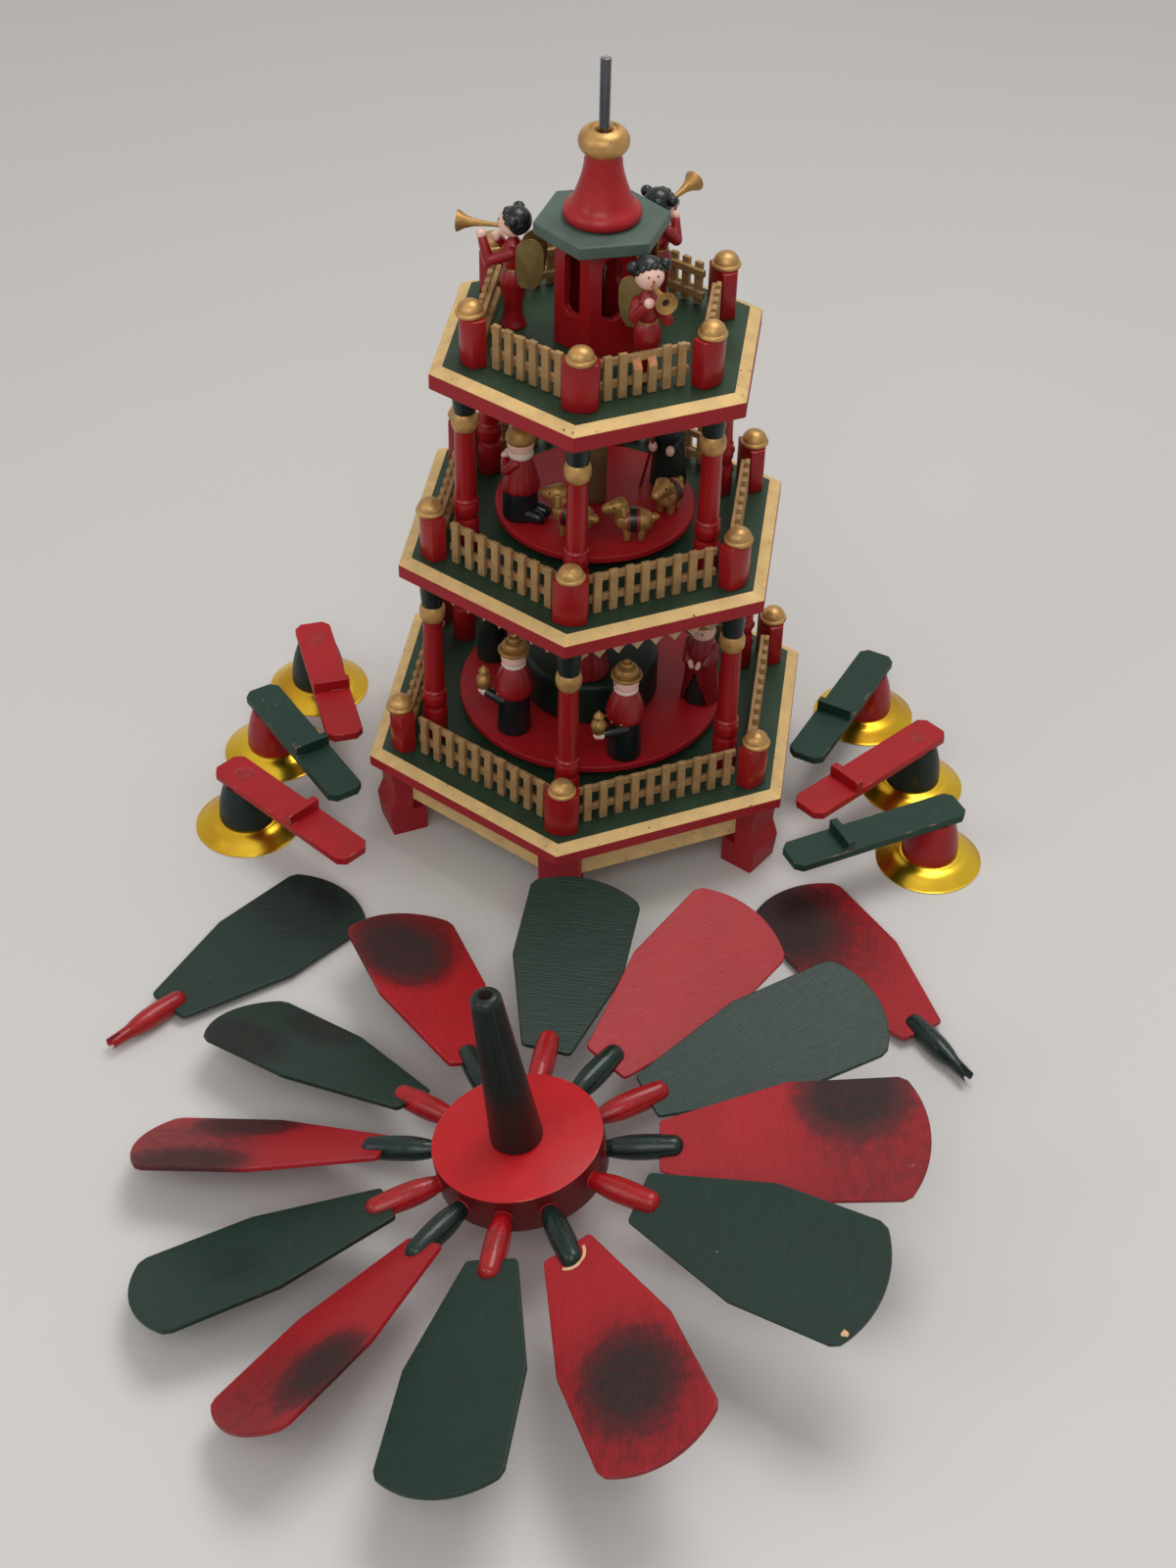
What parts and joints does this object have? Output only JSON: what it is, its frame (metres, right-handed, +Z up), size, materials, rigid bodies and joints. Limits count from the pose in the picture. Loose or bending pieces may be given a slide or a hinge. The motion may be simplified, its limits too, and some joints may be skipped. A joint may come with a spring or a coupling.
{
  "type": "christmas pyramid",
  "caption": "Wooden candle-driven Christmas pyramid with hexagonal decks, turning figures, candle arms and a wing wheel, taken down for storage.",
  "frame": {"origin": "on the table, under the middle of the whole layout: tower at the back, wing wheel in front, candle arms and loose wings at the sides", "axes": "+Z up, +Y from the wing wheel to the tower, +X to the right in the picture; the tower turns about an upright line at x 0.0077, y 0.1466"},
  "size_m": [0.3526, 0.492, 0.3342],
  "materials": {
    "red_paint": "glossy red lacquer",
    "green_paint": "dark green satin paint",
    "gilt_paint": "dull gold paint",
    "bare_wood": "bare pale wood",
    "black_paint": "black satin paint",
    "bright_steel": "bright drawn steel",
    "bearing_glass": "clear glass"
  },
  "bodies": {
    "tower_and_loose_pieces": {"foot_frame": "red_paint", "base_deck": "green_paint", "base_balustrade": "gilt_paint", "lower_column_1": "red_paint", "lower_column_2": "red_paint", "lower_column_3": "red_paint", "lower_column_4": "red_paint", "lower_column_5": "red_paint", "lower_column_6": "red_paint", "valance_ring": "bare_wood", "middle_deck": "green_paint", "middle_balustrade": "gilt_paint", "upper_column_1": "red_paint", "upper_column_2": "red_paint", "upper_column_3": "red_paint", "upper_column_4": "red_paint", "upper_column_5": "red_paint", "upper_column_6": "red_paint", "top_deck": "green_paint", "top_balustrade": "gilt_paint", "gazebo_drum": "red_paint", "gazebo_roof": "green_paint", "spire": "red_paint", "angel_left": "red_paint", "angel_front": "red_paint", "angel_back": "red_paint", "pivot_bearing": "bearing_glass", "candle_arm_1": "green_paint", "candle_arm_2": "red_paint", "candle_arm_3": "green_paint", "candle_arm_4": "red_paint", "candle_arm_5": "green_paint", "candle_arm_6": "red_paint", "loose_wing_left": "green_paint", "loose_wing_right": "red_paint"},
    "spindle": {"spindle_rod": "bright_steel", "lower_turntable": "red_paint", "pedestal": "green_paint", "middle_turntable": "red_paint", "middle_sleeve": "gilt_paint", "wise_man_left": "green_paint", "wise_man_right": "green_paint", "cloaked_figure": "red_paint", "kneeling_shepherd": "red_paint", "shepherd_with_staff": "black_paint"},
    "wing_wheel": {"wheel_hub": "red_paint", "wheel_sleeve": "green_paint", "wheel_knob": "green_paint"},
    "wing_1_body": {"wing_1": "green_paint"},
    "wing_2_body": {"wing_2": "red_paint"},
    "wing_3_body": {"wing_3": "green_paint"},
    "wing_4_body": {"wing_4": "red_paint"},
    "wing_5_body": {"wing_5": "green_paint"},
    "wing_6_body": {"wing_6": "red_paint"},
    "wing_7_body": {"wing_7": "green_paint"},
    "wing_8_body": {"wing_8": "red_paint"},
    "wing_9_body": {"wing_9": "green_paint"},
    "wing_10_body": {"wing_10": "red_paint"},
    "wing_11_body": {"wing_11": "green_paint"},
    "wing_12_body": {"wing_12": "red_paint"}
  },
  "joints": [
    {"name": "spindle_turn", "type": "hinge", "parent": "tower_and_loose_pieces", "child": "spindle", "pos_m": [0.00774, 0.14665, 0.0423], "axis": [0, 0, 1], "continuous": true},
    {"name": "wheel_turn", "type": "hinge", "parent": "tower_and_loose_pieces", "child": "wing_wheel", "pos_m": [-0.01226, -0.10135, 0.034], "axis": [-0.1575, 0.0364, 0.9869], "continuous": true},
    {"name": "wing_1_pitch", "type": "hinge", "parent": "wing_wheel", "child": "wing_1_body", "pos_m": [-0.01226, -0.10135, 0.034], "axis": [0.1505, 0.9885, -0.0124], "range_deg": [-16, 12]},
    {"name": "wing_2_pitch", "type": "hinge", "parent": "wing_wheel", "child": "wing_2_body", "pos_m": [-0.01226, -0.10135, 0.034], "axis": [0.5911, 0.804, 0.0647], "range_deg": [-26, 2]},
    {"name": "wing_3_pitch", "type": "hinge", "parent": "wing_wheel", "child": "wing_3_body", "pos_m": [-0.01226, -0.10135, 0.034], "axis": [0.8933, 0.4313, 0.1266], "range_deg": [-17, 11]},
    {"name": "wing_4_pitch", "type": "hinge", "parent": "wing_wheel", "child": "wing_4_body", "pos_m": [-0.01226, -0.10135, 0.034], "axis": [0.9854, -0.0599, 0.1594], "range_deg": [-27, 1]},
    {"name": "wing_5_pitch", "type": "hinge", "parent": "wing_wheel", "child": "wing_5_body", "pos_m": [-0.01226, -0.10135, 0.034], "axis": [0.8396, -0.5212, 0.1532], "range_deg": [-28, 0]},
    {"name": "wing_6_pitch", "type": "hinge", "parent": "wing_wheel", "child": "wing_6_body", "pos_m": [-0.01226, -0.10135, 0.034], "axis": [0.3576, -0.9294, 0.0913], "range_deg": [-17, 11]},
    {"name": "wing_7_pitch", "type": "hinge", "parent": "wing_wheel", "child": "wing_7_body", "pos_m": [-0.01226, -0.10135, 0.034], "axis": [-0.1505, -0.9885, 0.0124], "range_deg": [-8, 20]},
    {"name": "wing_8_pitch", "type": "hinge", "parent": "wing_wheel", "child": "wing_8_body", "pos_m": [-0.01226, -0.10135, 0.034], "axis": [-0.6183, -0.7828, -0.0698], "range_deg": [-24, 4]},
    {"name": "wing_9_pitch", "type": "hinge", "parent": "wing_wheel", "child": "wing_9_body", "pos_m": [-0.01226, -0.10135, 0.034], "axis": [-0.9074, -0.3995, -0.1301], "range_deg": [-11, 17]},
    {"name": "wing_10_pitch", "type": "hinge", "parent": "wing_wheel", "child": "wing_10_body", "pos_m": [-0.01226, -0.10135, 0.034], "axis": [-0.9785, 0.1293, -0.1609], "range_deg": [-24, 4]},
    {"name": "wing_11_pitch", "type": "hinge", "parent": "wing_wheel", "child": "wing_11_body", "pos_m": [-0.01226, -0.10135, 0.034], "axis": [-0.8013, 0.5794, -0.1492], "range_deg": [-22, 6]},
    {"name": "wing_12_pitch", "type": "hinge", "parent": "wing_wheel", "child": "wing_12_body", "pos_m": [-0.01226, -0.10135, 0.034], "axis": [-0.3895, 0.916, -0.0959], "range_deg": [-21, 7]}
  ]
}
